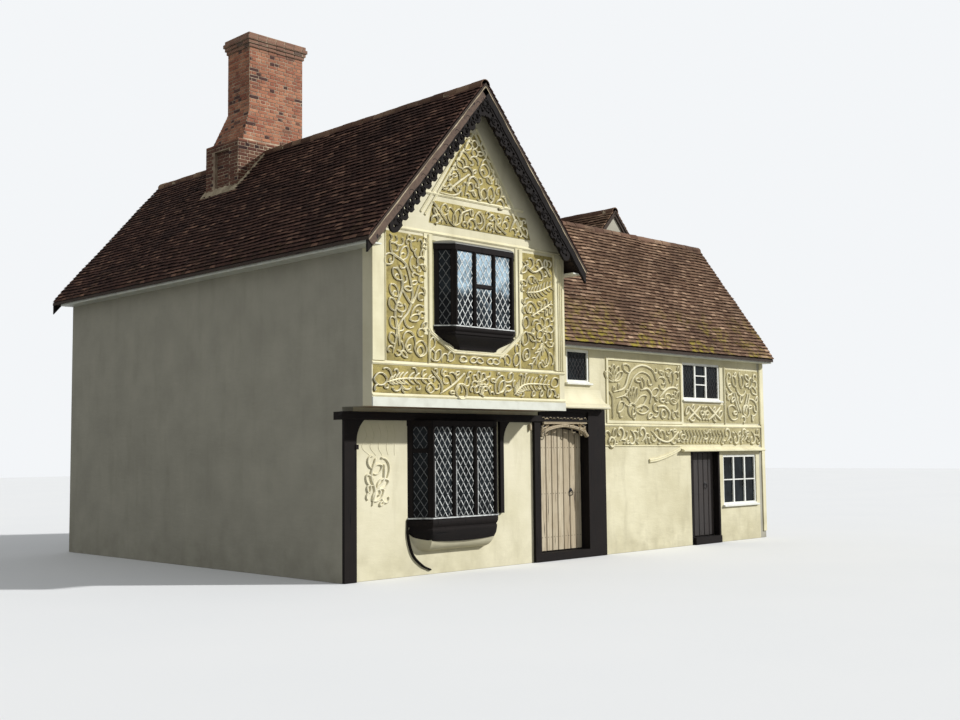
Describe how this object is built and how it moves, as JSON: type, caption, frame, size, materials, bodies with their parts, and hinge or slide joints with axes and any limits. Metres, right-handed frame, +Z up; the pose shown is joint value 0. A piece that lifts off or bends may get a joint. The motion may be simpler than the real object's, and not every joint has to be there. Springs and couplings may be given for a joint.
{
  "type": "half timbered house",
  "caption": "Half timbered house with a jettied, pargeted gable wing, a long tiled range, canted oriel windows, a tall brick chimney and two doors that open.",
  "frame": {"origin": "on the ground under the middle of the house's overall box", "axes": "+X along the street front to the right as seen from the street, +Y from the street front to the back, +Z up"},
  "size_m": [12.76, 10.62, 10.668],
  "materials": {
    "floor_boards": "worn waxed boards",
    "black_timber": "tarred and weathered oak, matte",
    "white_paint": "flat oil paint on joinery",
    "leaded_glass": "old uneven window glass",
    "lead_sheet": "weathered lead sheet, matte",
    "wing_tiles": "old plain clay tiles, dark red brown",
    "range_tiles": "old plain clay tiles, brown with lichen",
    "red_brick": "soft red brick in pale mortar",
    "weathered_oak": "silvered oak, open grain",
    "ochre_render": "lime render washed in ochre",
    "cream_render": "lime render washed in cream"
  },
  "bodies": {
    "house": {"ground_floor": "floor_boards", "wing_left_wall": "cream_render", "wing_right_wall": "cream_render", "wing_lower_front_wall": "cream_render", "wing_front_gable": "ochre_render", "wing_rear_gable": "cream_render", "wing_upper_floor": "floor_boards", "jetty_timbers": "black_timber", "jetty_fascia": "white_paint", "lower_oriel_frame": "black_timber", "lower_oriel_glass": "leaded_glass", "lower_oriel_base": "cream_render", "upper_oriel_frame": "black_timber", "upper_oriel_glass": "leaded_glass", "upper_oriel_base": "black_timber", "upper_oriel_cap": "lead_sheet", "gable_mouldings": "cream_render", "front_verge_boards": "black_timber", "rear_verge_boards": "black_timber", "wing_roof_left": "wing_tiles", "wing_roof_right": "wing_tiles", "ridge_tiles": "range_tiles", "eaves_boards": "white_paint", "chimney_stack": "red_brick", "chimney_head": "red_brick", "range_wall_over_door": "cream_render", "range_lower_wall_middle": "cream_render", "range_lower_wall_right": "cream_render", "range_upper_wall": "ochre_render", "range_right_gable": "cream_render", "range_rear_wall": "cream_render", "range_upper_floor": "floor_boards", "range_roof_front": "range_tiles", "range_roof_rear": "range_tiles", "range_mouldings": "cream_render", "range_window_frames": "white_paint", "window_glass": "leaded_glass", "front_door_frame": "black_timber", "door_apron": "cream_render", "side_door_frame": "black_timber", "rear_wing_side_walls": "cream_render", "rear_wing_gables": "cream_render", "rear_wing_roof_left": "range_tiles", "rear_wing_roof_right": "range_tiles", "rear_window_frames": "white_paint"},
    "front_door": {"front_door": "weathered_oak"},
    "side_door": {"side_door": "black_timber"}
  },
  "joints": [
    {"name": "front_door_hinge", "type": "hinge", "parent": "house", "child": "front_door", "pos_m": [-1.52, -4.054, 1.3], "axis": [0, 0, 1], "range_deg": [0, 90]},
    {"name": "side_door_hinge", "type": "hinge", "parent": "house", "child": "side_door", "pos_m": [3.38, -4.054, 1.1], "axis": [0, 0, 1], "range_deg": [0, 90]}
  ]
}
